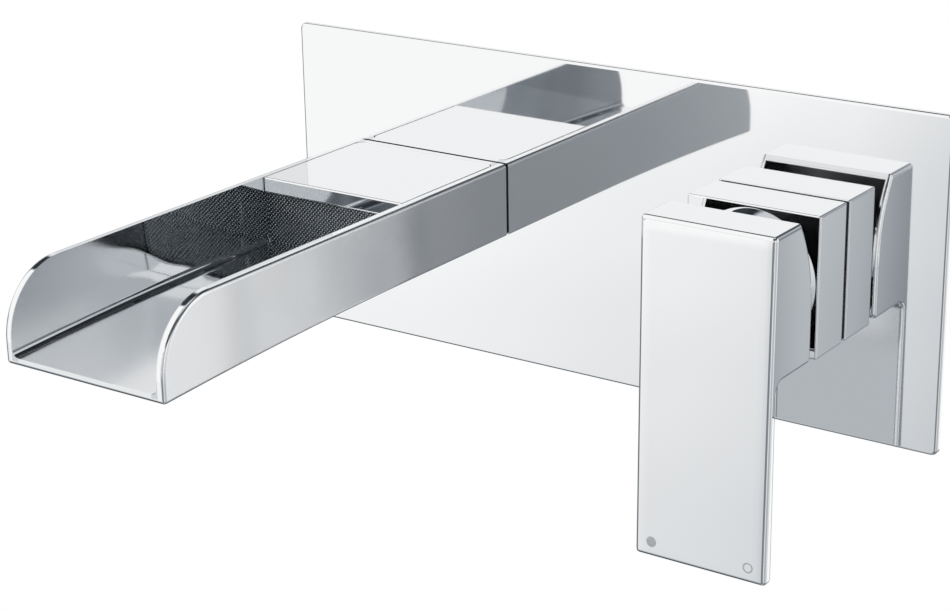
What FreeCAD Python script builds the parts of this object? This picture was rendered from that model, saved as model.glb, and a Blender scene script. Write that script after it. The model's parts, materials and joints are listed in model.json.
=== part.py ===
import FreeCAD, Part
import math
import os

from FreeCAD import Vector

# Frame: X to the right along the wall, Y into the wall, Z up.
# The origin is the middle of the cover plate's back face, on the finished wall.

# Angles in degrees and counts
lift_range = 22.0
half_turn = 180.0
full_turn = 360.0
hex_sides = 6
mesh_columns = 24
mesh_rows = 9
key_slots = 4

# Clearances
slip = 0.1
run_fit = 0.05
clear = 0.3
overrun = 5.0

# Cover plate and its gasket
plate_width = 225.0
plate_height = 99.0
plate_thick = 2.0
plate_corner_r = 2.0
plate_edge_r = 0.9
gasket_depth = 0.8
gasket_margin = 4.0
gasket_band = 6.0
axis_offset = 61.5

# Flat seals that leave a shadow line on the plate
seal_thick = 0.6
shroud_seal_thick = 1.0
seal_inset = 0.7

# Spout channel
spout_width = 57.6
spout_wall = 2.6
spout_floor = 2.4
spout_back_wall = 2.2
spout_reach = 157.4
spout_top = 14.4
spout_height = 23.3
mouth_drop = 3.1
nose_r = 20.0
floor_fillet_r = 2.0
rim_edge_r = 1.1

# Spout cover, its ledges and the mesh
cover_length = 50.5
cover_thick = 1.6
cover_lip = 4.8
cover_corner_r = 3.0
cover_edge_r = 0.6
ledge_width = 2.2
ledge_thick = 1.6
cover_seal_thick = 0.6
mesh_thick = 0.8
mesh_gap_share = 0.5
frame_thick = 1.2
frame_band = 1.6

# Spout nipple, nut and screws
nipple_r = 6.6
nipple_rise = 1.4
nipple_bore_r = 4.5
nipple_length = 23.5
ring_wire_r = 0.75
ring_pitch = 4.5
spout_nut_r = 9.8
spout_nut_thick = 5.0
spout_screw_pitch = 34.0
spout_screw_r = 2.0
spout_head_r = 3.6
spout_head_thick = 2.2
spout_screw_grip = 4.0
tie_half_width = 22.0
tie_half_height = 6.0
tie_thick = 5.0

# Handle shroud and dome
block_width = 42.0
shroud_depth = 17.0
shroud_wall = 1.6
shroud_edge_r = 0.6
shroud_back_r = 0.5
pivot_out = 8.0
dome_r = 22.0
dome_wall = 1.2
dome_mouth_r = 9.5
dome_flange = 1.6
skirt_wall = 1.7
skirt_length = 10.0

# Lever handle
lever_top_front = 42.7
lever_tip_front = 44.2
lever_back = 40.0
lever_drop = 80.0
lever_rise = 0.8
block_under = 20.6
block_rear_low = 20.2
block_rear_top = 28.0
rear_arc_start = 4.0
rear_corner_r = 2.0
paddle_root_r = 3.0
lever_edge_r = 1.2
lever_corner_r = 1.3
block_wall = 1.6
block_face = 5.0
boss_half = 6.5
boss_gap = 0.6
grub_r = 2.5
grub_place = 26.0
grub_socket_r = 1.3
grub_socket_depth = 2.0
plug_r = 2.8

# Stem and swivel
stem_half = 3.0
stem_length_out = 28.9
stem_shoulder = 5.6
stem_length_in = 9.2
tip_half = 2.0
drive_arm = 8.3
pin_r = 1.5
swivel_r = 8.55
swivel_front_out = 5.2
swivel_back = 6.0
swivel_flange_r = 10.2
swivel_flange = 0.9
slot_half_z = 5.2

# Cartridge
cartridge_r = 12.9
cartridge_top_r = 10.2
cartridge_shoulder = 9.0
cartridge_top = 15.6
chamber_ceiling = 4.2
chamber_r = 10.6
disc_front = 1.0
disc_thick = 3.0
moving_disc_r = 8.2
driver_front = 2.6
driver_slot_depth = 2.4
tip_room = 0.5
fixed_disc_thick = 3.5
base_thick = 4.3
port_r = 1.8
port_side = 4.2
port_low = 3.2
port_high = 5.2
port_seal_r = 3.4
port_seal_depth = 1.2
port_seal_proud = 0.6
mix_pocket_r = 4.4
mix_tail_r = 2.5
mix_tail_rise = 3.2
mix_pocket_depth = 1.5
nut_height = 4.5
key_slot_width = 3.0
key_slot_depth = 2.0
neck_top = 14.0
neck_wall = 2.0
neck_lip = 1.0

# Body in the wall
body_r = 19.0
body_front = 5.0
body_back = 32.0
passage_depth = 20.0
passage_r = 4.5
arm_r = 10.0
arm_bore_r = 4.5
spout_boss_r = 14.0
spout_boss_front = 4.0
socket_depth = 10.2
inlet_offset = 14.0
inlet_boss_r = 10.5
inlet_boss_low = 21.0
inlet_socket_r = 8.0
inlet_socket_depth = 10.0

# Supply unions, check valves and strainers
union_hex_r = 12.6
union_hex_thick = 6.0
union_thread_r = 10.4775
union_thread_length = 15.0
union_bore_r = 6.0
union_spigot = 9.0
valve_length = 10.0
valve_depth = 5.0
valve_wall = 1.4
poppet_r = 3.6
poppet_thick = 1.6
poppet_stem_r = 1.2
strainer_thick = 0.8
strainer_hole_r = 0.7
strainer_ring_r = 3.0
strainer_holes = 8
union_ring_r = 0.6

# Wall bracket and its screws
bracket_width = 162.0
bracket_height = 62.0
bracket_thick = 2.5
bracket_corner_r = 6.0
fixing_width = 148.0
fixing_height = 48.0
fixing_hole_r = 2.75
bracket_screw_r = 2.0
bracket_head_r = 4.0
bracket_head_thick = 2.4
bracket_screw_grip = 4.0

# Derived positions
plate_front = -plate_thick
seal_front = plate_front - seal_thick
spout_x = -axis_offset
handle_x = axis_offset
outlet_z = spout_top - spout_height / 2 + nipple_rise
spout_bottom = spout_top - spout_height
spout_front = plate_front - spout_reach
level_end = plate_front - cover_length
inner_half = spout_width / 2 - spout_wall
cover_front = plate_front - cover_length
cover_back = seal_front - spout_back_wall - slip
cover_under = spout_top - cover_thick
ledge_top = cover_under - cover_seal_thick
mesh_front = cover_front + cover_thick + slip
frame_front = mesh_front + mesh_thick
block_half = block_width / 2
lever_top = block_half + lever_rise
shroud_front = plate_front - shroud_depth
shroud_back = plate_front - shroud_seal_thick
pivot_y = plate_front - pivot_out
rest_tilt = lift_range / 2
disc_shift = drive_arm * math.sin(math.radians(rest_tilt))
disc_back = disc_front + disc_thick
fixed_disc_front = disc_back + run_fit
fixed_disc_back = fixed_disc_front + fixed_disc_thick
base_back = fixed_disc_back + base_thick
seat_y = base_back + port_seal_proud
bore_r = cartridge_r + slip
neck_r = bore_r + neck_wall
skirt_r = neck_r + slip + skirt_wall
bracket_front = body_back
union_low = -inlet_boss_low - union_hex_thick - union_thread_length


def box(x0, x1, y0, y1, z0, z1):
    return Part.makeBox(x1 - x0, y1 - y0, z1 - z0, Vector(x0, y0, z0))


def rod_x(x0, x1, y, z, r):
    return Part.makeCylinder(r, x1 - x0, Vector(x0, y, z), Vector(1, 0, 0))


def rod_y(x, z, y0, y1, r):
    return Part.makeCylinder(r, y1 - y0, Vector(x, y0, z), Vector(0, 1, 0))


def rod_z(x, y, z0, z1, r):
    return Part.makeCylinder(r, z1 - z0, Vector(x, y, z0), Vector(0, 0, 1))


def hex_y(x, z, y0, y1, r):
    corners = []
    for i in range(hex_sides + 1):
        turn = math.radians(full_turn * i / hex_sides)
        corners.append(Vector(x + r * math.cos(turn), y0, z + r * math.sin(turn)))
    return Part.Face(Part.makePolygon(corners)).extrude(Vector(0, y1 - y0, 0))


def hex_z(x, y, z0, z1, r):
    corners = []
    for i in range(hex_sides + 1):
        turn = math.radians(full_turn * i / hex_sides)
        corners.append(Vector(x + r * math.cos(turn), y + r * math.sin(turn), z0))
    return Part.Face(Part.makePolygon(corners)).extrude(Vector(0, 0, z1 - z0))


def spin_y(x, z, outline):
    """Turn a closed outline of (radius, y) points about a line along Y."""
    points = [Vector(x + r, y, z) for r, y in outline]
    face = Part.Face(Part.makePolygon(points + [points[0]]))
    return face.revolve(Vector(x, 0, z), Vector(0, 1, 0), full_turn)


def torus_y(x, z, y, major, minor):
    return Part.makeTorus(major, minor, Vector(x, y, z), Vector(0, 1, 0))


def torus_z(x, y, z, major, minor):
    return Part.makeTorus(major, minor, Vector(x, y, z), Vector(0, 0, 1))


def slab(width, height, y0, y1, corner_r):
    """A plate in the XZ plane about the origin with rounded corners."""
    raw = box(-width / 2, width / 2, y0, y1, -height / 2, height / 2)
    return raw.makeFillet(corner_r, along(raw, 1))


def along(shape, axis):
    """The straight edges of a shape that run along one axis, 0 for X, 1 for Y, 2 for Z."""
    found = []
    for edge in shape.Edges:
        if not isinstance(edge.Curve, Part.Line):
            continue
        way = edge.tangentAt(edge.FirstParameter)
        if abs([way.x, way.y, way.z][axis]) > 1 - Part.Precision.confusion():
            found.append(edge)
    return found


def on_plane(shape, axis, value):
    """The edges of a shape that lie wholly on one plane."""
    found = []
    for edge in shape.Edges:
        bounds = edge.BoundBox
        low = [bounds.XMin, bounds.YMin, bounds.ZMin][axis]
        high = [bounds.XMax, bounds.YMax, bounds.ZMax][axis]
        if abs(low - value) < run_fit and abs(high - value) < run_fit:
            found.append(edge)
    return found


def tilted(shape):
    """Turn a shape about the lever's pivot from straight out to the stem's rest angle."""
    shape.rotate(Vector(handle_x, pivot_y, 0), Vector(1, 0, 0), rest_tilt)
    return shape


def wall_plate():
    plate = slab(plate_width, plate_height, plate_front, 0, plate_corner_r)
    plate = plate.makeFillet(plate_edge_r, on_plane(plate, 1, plate_front))
    plate = plate.cut(gasket_band_shape(0, overrun))
    plate = plate.cut(rod_y(handle_x, 0, plate_front - overrun, overrun, neck_r + clear))
    plate = plate.cut(rod_y(spout_x, outlet_z, plate_front - overrun, overrun, nipple_r + clear))
    for x in spout_screw_places():
        plate = plate.cut(rod_y(x, outlet_z, plate_front - overrun, overrun, spout_screw_r + slip))
    return plate


def gasket_band_shape(gap, past):
    outer_w = plate_width - 2 * (gasket_margin + gap)
    outer_h = plate_height - 2 * (gasket_margin + gap)
    inner_w = plate_width - 2 * (gasket_margin + gasket_band - gap)
    inner_h = plate_height - 2 * (gasket_margin + gasket_band - gap)
    outer = slab(outer_w, outer_h, -gasket_depth, past, plate_corner_r)
    inner = slab(inner_w, inner_h, -gasket_depth - overrun, past + overrun, plate_corner_r)
    return outer.cut(inner)


def plate_gasket():
    return gasket_band_shape(slip, 0)


def spout_screw_places():
    return [spout_x - spout_screw_pitch / 2, spout_x + spout_screw_pitch / 2]


def floor_curve(rise):
    """Points of the spout's underside raised by rise: level end, middle of the arc, mouth."""
    run = spout_reach - cover_length
    radius = (run * run + mouth_drop * mouth_drop) / (2 * mouth_drop)
    centre_z = spout_bottom - radius
    sweep = math.asin(run / (radius + rise))
    points = []
    for share in (0, 1 / 2, 1):
        turn = sweep * share
        y = level_end - (radius + rise) * math.sin(turn)
        z = centre_z + (radius + rise) * math.cos(turn)
        points.append((y, z))
    return points


def side_face(x, pieces):
    """A face in the YZ plane at x from lists of two points (line) or three points (arc)."""
    edges = []
    for piece in pieces:
        points = [Vector(x, y, z) for y, z in piece]
        if len(points) == 2:
            edges.append(Part.makeLine(points[0], points[1]))
        else:
            edges.append(Part.Arc(points[0], points[1], points[2]).toShape())
    return Part.Face(Part.Wire(edges))


def arc_point(y, z, r, turn):
    return y + r * math.cos(math.radians(turn)), z + r * math.sin(math.radians(turn))


def spout_channel():
    level, middle, mouth = floor_curve(0)
    back_low = (seal_front, spout_bottom)
    back_high = (seal_front, spout_top)
    nose_y = spout_front + nose_r
    nose_z = spout_top - nose_r
    nose = [(nose_y, spout_top), arc_point(nose_y, nose_z, nose_r, half_turn * 3 / 4), (spout_front, nose_z)]
    outline = [
        [back_low, level],
        [level, middle, mouth],
        [mouth, nose[2]],
        [nose[2], nose[1], nose[0]],
        [nose[0], back_high],
        [back_high, back_low],
    ]
    left = spout_x - spout_width / 2
    shell = side_face(left, outline).extrude(Vector(spout_width, 0, 0))
    shell = shell.makeFillet(rim_edge_r, side_edges(shell, left) + side_edges(shell, left + spout_width)
                             + mouth_edges(shell))
    shell = shell.cut(channel_room())
    for side in (-1, 1):
        inner = spout_x + side * inner_half
        edge = inner - side * ledge_width
        ledge = box(min(inner, edge), max(inner, edge), frame_front + frame_thick, cover_back,
                    ledge_top - ledge_thick, ledge_top)
        shell = shell.fuse(ledge)
    shell = shell.cut(rod_y(spout_x, outlet_z, cover_back - overrun, overrun, nipple_r + slip))
    for x in spout_screw_places():
        shell = shell.cut(rod_y(x, outlet_z, cover_back - overrun, overrun, spout_screw_r + slip))
    return shell.removeSplitter()


def side_edges(shape, x):
    """Edges on one side wall, except those at the plate."""
    found = []
    for edge in on_plane(shape, 0, x):
        if edge.BoundBox.YMin < seal_front - run_fit:
            found.append(edge)
    return found


def mouth_edges(shape):
    """The lower edge across the spout's front."""
    found = []
    for edge in on_plane(shape, 1, spout_front):
        if edge.BoundBox.ZMax < spout_bottom:
            found.append(edge)
    return found


def channel_room():
    """The space inside the channel, open at the mouth and at the top."""
    level, middle, mouth = floor_curve(spout_floor)
    back = cover_back + slip
    past = mouth[0] - overrun
    over = spout_top + overrun
    slope = (mouth[1] - middle[1]) / (mouth[0] - middle[0])
    last = (past, mouth[1] - slope * overrun)
    outline = [
        [(back, level[1]), level],
        [level, middle, mouth],
        [mouth, last],
        [last, (past, over)],
        [(past, over), (back, over)],
        [(back, over), (back, level[1])],
    ]
    left = spout_x - inner_half
    room = side_face(left, outline).extrude(Vector(2 * inner_half, 0, 0))
    corners = [e for e in along(room, 2) if abs(e.BoundBox.YMin - back) < run_fit]
    room = room.makeFillet(cover_corner_r, corners)
    low = [e for e in room.Edges if e.BoundBox.ZMax < level[1] + run_fit and edge_runs_out(e)]
    return room.makeFillet(floor_fillet_r, low)


def edge_runs_out(edge):
    """True for the long lower edges beside the floor."""
    return edge.BoundBox.YLength > edge.BoundBox.XLength + floor_fillet_r


def spout_cover():
    half = inner_half - slip
    top = box(spout_x - half, spout_x + half, cover_front, cover_back, cover_under, spout_top)
    corners = [e for e in along(top, 2) if abs(e.BoundBox.YMin - cover_back) < run_fit]
    top = top.makeFillet(cover_corner_r, corners)
    lip = box(spout_x - half, spout_x + half, cover_front, cover_front + cover_thick,
              spout_top - cover_lip, cover_under)
    cover = top.fuse(lip).removeSplitter()
    edges = on_plane(cover, 2, spout_top)
    for edge in on_plane(cover, 1, cover_front):
        if edge.BoundBox.ZMin < cover_under:
            edges.append(edge)
    return cover.makeFillet(cover_edge_r, edges)


def cover_seal():
    seals = []
    back = cover_back - cover_corner_r
    for side in (-1, 1):
        inner = spout_x + side * (inner_half - slip)
        edge = inner - side * (ledge_width - slip)
        seals.append(box(min(inner, edge), max(inner, edge), frame_front + frame_thick, back,
                         ledge_top, cover_under))
    return Part.makeCompound(seals)


def screen_outline(y0, y1, inset):
    """The upright screen that closes the chamber, rounded where the floor meets the walls."""
    half = inner_half - slip - inset
    low = floor_curve(spout_floor)[0][1] + slip + inset
    raw = box(spout_x - half, spout_x + half, y0, y1, low, cover_under - inset)
    corners = [e for e in along(raw, 1) if e.BoundBox.ZMax < outlet_z]
    return raw.makeFillet(floor_fillet_r + slip, corners)


def flow_mesh():
    sheet = screen_outline(mesh_front, frame_front, 0)
    bounds = screen_outline(mesh_front, frame_front, frame_band).BoundBox
    step_x = bounds.XLength / mesh_columns
    step_z = bounds.ZLength / mesh_rows
    holes = []
    for column in range(mesh_columns):
        for row in range(mesh_rows):
            x = bounds.XMin + step_x * (column + (1 - mesh_gap_share) / 2)
            z = bounds.ZMin + step_z * (row + (1 - mesh_gap_share) / 2)
            holes.append(box(x, x + step_x * mesh_gap_share, mesh_front - overrun, frame_front + overrun,
                             z, z + step_z * mesh_gap_share))
    return sheet.cut(Part.makeCompound(holes))


def mesh_frame():
    outer = screen_outline(frame_front, frame_front + frame_thick, 0)
    room = screen_outline(frame_front - overrun, frame_front + frame_thick + overrun, frame_band)
    return outer.cut(room)


def spout_seal():
    half_w = spout_width / 2 - seal_inset
    seal = box(spout_x - half_w, spout_x + half_w, seal_front, plate_front,
               spout_bottom + seal_inset, spout_top - seal_inset)
    seal = seal.cut(rod_y(spout_x, outlet_z, seal_front - overrun, overrun, nipple_r + slip))
    for x in spout_screw_places():
        seal = seal.cut(rod_y(x, outlet_z, seal_front - overrun, overrun, spout_screw_r + slip))
    return seal


def nipple_front():
    return seal_front - spout_back_wall - spout_nut_thick


def nipple_ring_places():
    deep = nipple_front() + nipple_length
    return [deep - ring_pitch / 2, deep - ring_pitch * 3 / 2]


def spout_nipple():
    front = nipple_front()
    back = front + nipple_length
    pipe = rod_y(spout_x, outlet_z, front, back, nipple_r)
    pipe = pipe.cut(rod_y(spout_x, outlet_z, front - overrun, back + overrun, nipple_bore_r))
    for y in nipple_ring_places():
        groove = rod_y(spout_x, outlet_z, y - ring_wire_r - slip, y + ring_wire_r + slip, nipple_r + overrun)
        core_r = nipple_r + slip - 2 * ring_wire_r
        groove = groove.cut(rod_y(spout_x, outlet_z, y - overrun, y + overrun, core_r))
        pipe = pipe.cut(groove)
    return pipe


def nipple_o_rings():
    rings = []
    for y in nipple_ring_places():
        rings.append(torus_y(spout_x, outlet_z, y, nipple_r + slip - ring_wire_r, ring_wire_r))
    return Part.makeCompound(rings)


def spout_lock_nut():
    back = seal_front - spout_back_wall
    nut = hex_y(spout_x, outlet_z, back - spout_nut_thick, back, spout_nut_r)
    return nut.cut(rod_y(spout_x, outlet_z, back - overrun - spout_nut_thick, overrun, nipple_r))


def spout_screws():
    screws = []
    face = seal_front - spout_back_wall
    for x in spout_screw_places():
        shank = rod_y(x, outlet_z, face, spout_boss_front + spout_screw_grip, spout_screw_r)
        head = rod_y(x, outlet_z, face - spout_head_thick, face, spout_head_r)
        socket = hex_y(x, outlet_z, face - overrun, face - spout_head_thick / 2, spout_screw_r)
        screws.append(head.fuse(shank).removeSplitter().cut(socket))
    return Part.makeCompound(screws)


def square_y(half, y0, y1):
    """A square bar along the handle's axis."""
    return box(handle_x - half, handle_x + half, y0, y1, -half, half)


def handle_shroud():
    shell = square_y(block_half, shroud_front, shroud_back)
    shell = shell.makeFillet(shroud_edge_r, along(shell, 1) + on_plane(shell, 1, shroud_front))
    shell = shell.makeFillet(shroud_back_r, on_plane(shell, 1, shroud_back))
    inner = block_half - shroud_wall
    shell = shell.cut(square_y(inner, shroud_front + shroud_wall, overrun))
    return shell.cut(rod_y(handle_x, 0, shroud_front - overrun, overrun, skirt_r + slip))


def shroud_seal():
    outer = block_half - seal_inset
    inner = block_half - shroud_wall - seal_inset
    seal = square_y(outer, shroud_back, plate_front)
    return seal.cut(square_y(inner, shroud_back - overrun, overrun))


def sphere_y(r, radius):
    """Height of a ball about the pivot at distance r from the handle's axis."""
    return pivot_y - math.sqrt(radius * radius - r * r)


def ball_r(y, radius):
    return math.sqrt(radius * radius - (y - pivot_y) * (y - pivot_y))


def dome_cap():
    inside = dome_r - dome_wall
    flange_y = shroud_front - dome_flange
    base_r = ball_r(shroud_front, dome_r)
    inner_r = ball_r(flange_y, inside)
    thread_r = neck_r + slip
    skirt_end = shroud_front + skirt_length
    ball_mid_r = (base_r + dome_mouth_r) / 2
    room_mid_r = (inner_r + dome_mouth_r) / 2
    spots = [
        [(base_r, shroud_front), (ball_mid_r, sphere_y(ball_mid_r, dome_r)),
         (dome_mouth_r, sphere_y(dome_mouth_r, dome_r))],
        [(dome_mouth_r, sphere_y(dome_mouth_r, dome_r)), (dome_mouth_r, sphere_y(dome_mouth_r, inside))],
        [(dome_mouth_r, sphere_y(dome_mouth_r, inside)), (room_mid_r, sphere_y(room_mid_r, inside)),
         (inner_r, flange_y)],
        [(inner_r, flange_y), (thread_r, flange_y)],
        [(thread_r, flange_y), (thread_r, skirt_end)],
        [(thread_r, skirt_end), (skirt_r, skirt_end)],
        [(skirt_r, skirt_end), (skirt_r, shroud_front)],
        [(skirt_r, shroud_front), (base_r, shroud_front)],
    ]
    edges = []
    for spot in spots:
        points = [Vector(handle_x + r, y, 0) for r, y in spot]
        if len(points) == 2:
            edges.append(Part.makeLine(points[0], points[1]))
        else:
            edges.append(Part.Arc(points[0], points[1], points[2]).toShape())
    face = Part.Face(Part.Wire(edges))
    return face.revolve(Vector(handle_x, 0, 0), Vector(0, 1, 0), full_turn)


def lever_outline():
    top_front = (plate_front - lever_top_front, lever_top)
    tip_front = (plate_front - lever_tip_front, -lever_drop)
    tip_back = (plate_front - lever_back, -lever_drop)
    root_y = plate_front - lever_back
    root_z = -block_under - paddle_root_r
    root = [(root_y, root_z), arc_point(root_y + paddle_root_r, root_z, paddle_root_r, half_turn * 3 / 4),
            (root_y + paddle_root_r, -block_under)]
    low_y = plate_front - block_rear_low
    corner_y = low_y - rear_corner_r
    corner_z = -block_under + rear_corner_r
    corner = [(corner_y, -block_under), arc_point(corner_y, corner_z, rear_corner_r, -half_turn / 4),
              (low_y, corner_z)]
    rise = lever_top + rear_arc_start
    back = block_rear_top - block_rear_low
    arc_r = (rise * rise + back * back) / (2 * back)
    half_sweep = math.asin(rise / arc_r) / 2
    arc_mid = (low_y - arc_r * (1 - math.cos(half_sweep)), -rear_arc_start + arc_r * math.sin(half_sweep))
    arc_top = (plate_front - block_rear_top, lever_top)
    return [
        [arc_top, top_front],
        [top_front, tip_front],
        [tip_front, tip_back],
        [tip_back, root[0]],
        [root[0], root[1], root[2]],
        [root[2], corner[0]],
        [corner[0], corner[1], corner[2]],
        [corner[2], (low_y, -rear_arc_start)],
        [(low_y, -rear_arc_start), arc_mid, arc_top],
    ]


def stem_box(half, start, end):
    """A square bar along the stem's line, from start to end outward of the pivot."""
    bar = box(handle_x - half, handle_x + half, pivot_y - end, pivot_y - start, -half, half)
    return tilted(bar)


def lever_cross_edges(shape):
    """The edges across the lever at the top of its front and round its tip."""
    found = []
    for edge in along(shape, 0):
        at_tip = edge.BoundBox.ZMax < -lever_drop + run_fit
        at_top = edge.BoundBox.ZMin > lever_top - run_fit and edge.BoundBox.YMax < plate_front - lever_back
        if at_tip or at_top:
            found.append(edge)
    return found


def lever_handle():
    left = handle_x - block_half
    lever = side_face(left, lever_outline()).extrude(Vector(block_width, 0, 0))
    lever = lever.makeFillet(lever_corner_r, lever_cross_edges(lever))
    lever = lever.makeFillet(lever_edge_r, on_plane(lever, 0, left) + on_plane(lever, 0, left + block_width))
    inner = block_half - block_wall
    room_back = plate_front - lever_top_front + block_face
    room = box(handle_x - inner, handle_x + inner, room_back, overrun, -block_under + block_wall,
               lever_top - block_wall)
    lever = lever.cut(room)
    lever = lever.fuse(stem_box(boss_half, dome_r + boss_gap, stem_length_out + block_wall + boss_gap))
    lever = lever.cut(stem_box(stem_half + slip, 0, stem_length_out))
    y, z = grub_spot()
    lever = lever.cut(rod_z(handle_x, y, z - block_half, z, grub_r + slip))
    under = -block_under
    lever = lever.cut(rod_z(handle_x, y, under - overrun, under + block_wall + overrun, plug_r))
    return lever.removeSplitter()


def grub_spot():
    """Where the grub screw's line meets the stem's lower face."""
    turn = math.radians(rest_tilt)
    y = pivot_y - grub_place * math.cos(turn)
    z = -grub_place * math.sin(turn) - stem_half / math.cos(turn)
    return y, z


def grub_screw():
    y, z = grub_spot()
    low = z - boss_half + stem_half
    turn_gap = (grub_r + slip) * math.tan(math.radians(rest_tilt))
    screw = rod_z(handle_x, y, low, z - turn_gap, grub_r)
    return screw.cut(hex_z(handle_x, y, low - overrun, low + grub_socket_depth, grub_socket_r))


def grub_plug():
    y, z = grub_spot()
    return rod_z(handle_x, y, -block_under, -block_under + block_wall, plug_r - run_fit)


def lever_stem():
    stem = stem_box(stem_half, -stem_shoulder, stem_length_out)
    stem = stem.fuse(stem_box(tip_half, -stem_length_in, -stem_shoulder)).removeSplitter()
    return stem.cut(rod_x(handle_x - overrun, handle_x + overrun, pivot_y, 0, pin_r + run_fit))


def swivel_carrier():
    front = pivot_y - swivel_front_out
    back = pivot_y + swivel_back
    carrier = rod_y(handle_x, 0, front, back, swivel_r)
    carrier = carrier.fuse(rod_y(handle_x, 0, back - swivel_flange, back, swivel_flange_r)).removeSplitter()
    half_x = stem_half + run_fit
    carrier = carrier.cut(box(handle_x - half_x, handle_x + half_x, front - overrun, back + overrun,
                              -slot_half_z, slot_half_z))
    past = swivel_r + overrun
    return carrier.cut(rod_x(handle_x - past, handle_x + past, pivot_y, 0, pin_r))


def pivot_pin():
    half = math.sqrt(swivel_r * swivel_r - pin_r * pin_r) - slip
    return rod_x(handle_x - half, handle_x + half, pivot_y, 0, pin_r)


def cartridge_housing():
    shoulder = -cartridge_shoulder
    ceiling = -chamber_ceiling
    return spin_y(handle_x, 0, [
        (cartridge_r, fixed_disc_back),
        (cartridge_r, shoulder),
        (cartridge_top_r, shoulder),
        (cartridge_top_r, -cartridge_top),
        (swivel_r + run_fit, -cartridge_top),
        (swivel_r + run_fit, ceiling - swivel_flange - slip),
        (chamber_r, ceiling - swivel_flange - slip),
        (chamber_r, fixed_disc_back),
    ])


def port_places():
    return [(handle_x - port_side, -port_low), (handle_x + port_side, -port_low), (handle_x, port_high)]


def with_ports(shape, y0, y1, r):
    for x, z in port_places():
        shape = shape.cut(rod_y(x, z, y0, y1, r))
    return shape


def fixed_disc():
    disc = rod_y(handle_x, 0, fixed_disc_front, fixed_disc_back, chamber_r - run_fit)
    return with_ports(disc, fixed_disc_front - overrun, fixed_disc_back + overrun, port_r)


def moving_disc():
    disc = rod_y(handle_x, disc_shift, disc_front, disc_back, moving_disc_r)
    start = disc_back - mix_pocket_depth
    pocket = rod_y(handle_x, disc_shift, start, disc_back + overrun, mix_pocket_r)
    tail = rod_y(handle_x, disc_shift + mix_tail_rise, start, disc_back + overrun, mix_tail_r)
    return disc.cut(pocket.fuse(tail))


def disc_driver():
    driver = rod_y(handle_x, disc_shift, -driver_front, disc_front, moving_disc_r)
    half_x = tip_half + slip
    half_z = tip_half + tip_room
    return driver.cut(box(handle_x - half_x, handle_x + half_x, -driver_front - overrun,
                          -driver_front + driver_slot_depth, disc_shift - half_z, disc_shift + half_z))


def cartridge_base():
    base = rod_y(handle_x, 0, fixed_disc_back, base_back, cartridge_r)
    base = with_ports(base, fixed_disc_back - overrun, base_back + overrun, port_r)
    return with_ports(base, base_back - port_seal_depth, base_back + overrun, port_seal_r)


def port_seals():
    seals = []
    for x, z in port_places():
        ring = rod_y(x, z, base_back - port_seal_depth, seat_y, port_seal_r)
        seals.append(ring.cut(rod_y(x, z, base_back - overrun, seat_y + overrun, port_r)))
    return Part.makeCompound(seals)


def cartridge_nut():
    shoulder = -cartridge_shoulder
    outer = bore_r + neck_lip - run_fit
    inner = cartridge_top_r + slip
    nut = spin_y(handle_x, 0, [(inner, shoulder), (outer, shoulder), (outer, shoulder - nut_height),
                               (inner, shoulder - nut_height)])
    for i in range(key_slots):
        slot = box(handle_x, handle_x + outer + overrun, shoulder - nut_height - overrun,
                   shoulder - nut_height + key_slot_depth, -key_slot_width / 2, key_slot_width / 2)
        slot.rotate(Vector(handle_x, 0, 0), Vector(0, 1, 0), full_turn * i / key_slots)
        nut = nut.cut(slot)
    return nut


def valve_body():
    body = rod_y(handle_x, 0, body_front, body_back, body_r)
    body = body.fuse(rod_y(handle_x, 0, -neck_top, body_front, neck_r))
    body = body.fuse(rod_x(spout_x, handle_x, passage_depth, outlet_z, arm_r))
    body = body.fuse(rod_y(spout_x, outlet_z, spout_boss_front, body_back, spout_boss_r))
    body = body.fuse(box(spout_x - tie_half_width, spout_x + tie_half_width, spout_boss_front,
                         spout_boss_front + tie_thick, outlet_z - tie_half_height,
                         outlet_z + tie_half_height))
    for x in inlet_places():
        body = body.fuse(rod_z(x, passage_depth, -inlet_boss_low, 0, inlet_boss_r))
    body = body.removeSplitter()
    body = body.cut(rod_y(handle_x, 0, -neck_top - overrun, seat_y, bore_r))
    body = body.cut(rod_y(handle_x, 0, -neck_top - overrun, -cartridge_shoulder, bore_r + neck_lip))
    body = with_ports(body, seat_y - overrun, passage_depth, port_r)
    body = body.cut(rod_x(spout_x, handle_x, passage_depth, outlet_z, arm_bore_r))
    body = body.cut(inlet_ways())
    socket_r = nipple_r + slip
    body = body.cut(rod_y(spout_x, outlet_z, -overrun, spout_boss_front + socket_depth, socket_r))
    body = body.cut(rod_y(spout_x, outlet_z, spout_boss_front, passage_depth, nipple_bore_r))
    for x in spout_screw_places():
        body = body.cut(rod_y(x, outlet_z, -overrun, spout_boss_front + tie_thick + overrun, spout_screw_r))
    for x, z in bracket_screw_places():
        body = body.cut(rod_y(x, z, body_back - bracket_screw_grip, body_back + overrun, bracket_screw_r))
    return body


def inlet_places():
    return [handle_x - inlet_offset, handle_x + inlet_offset]


def inlet_ways():
    ways = []
    for x in inlet_places():
        ways.append(rod_z(x, passage_depth, -inlet_boss_low - overrun, -port_low, passage_r))
        ways.append(rod_z(x, passage_depth, -inlet_boss_low - overrun, -inlet_boss_low + inlet_socket_depth,
                          inlet_socket_r))
    cross_z = -port_low - port_r
    ways.append(rod_x(handle_x - inlet_offset, handle_x - port_side, passage_depth, cross_z, port_r))
    ways.append(rod_x(handle_x + port_side, handle_x + inlet_offset, passage_depth, cross_z, port_r))
    first = ways[0]
    return first.multiFuse(ways[1:])


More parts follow.
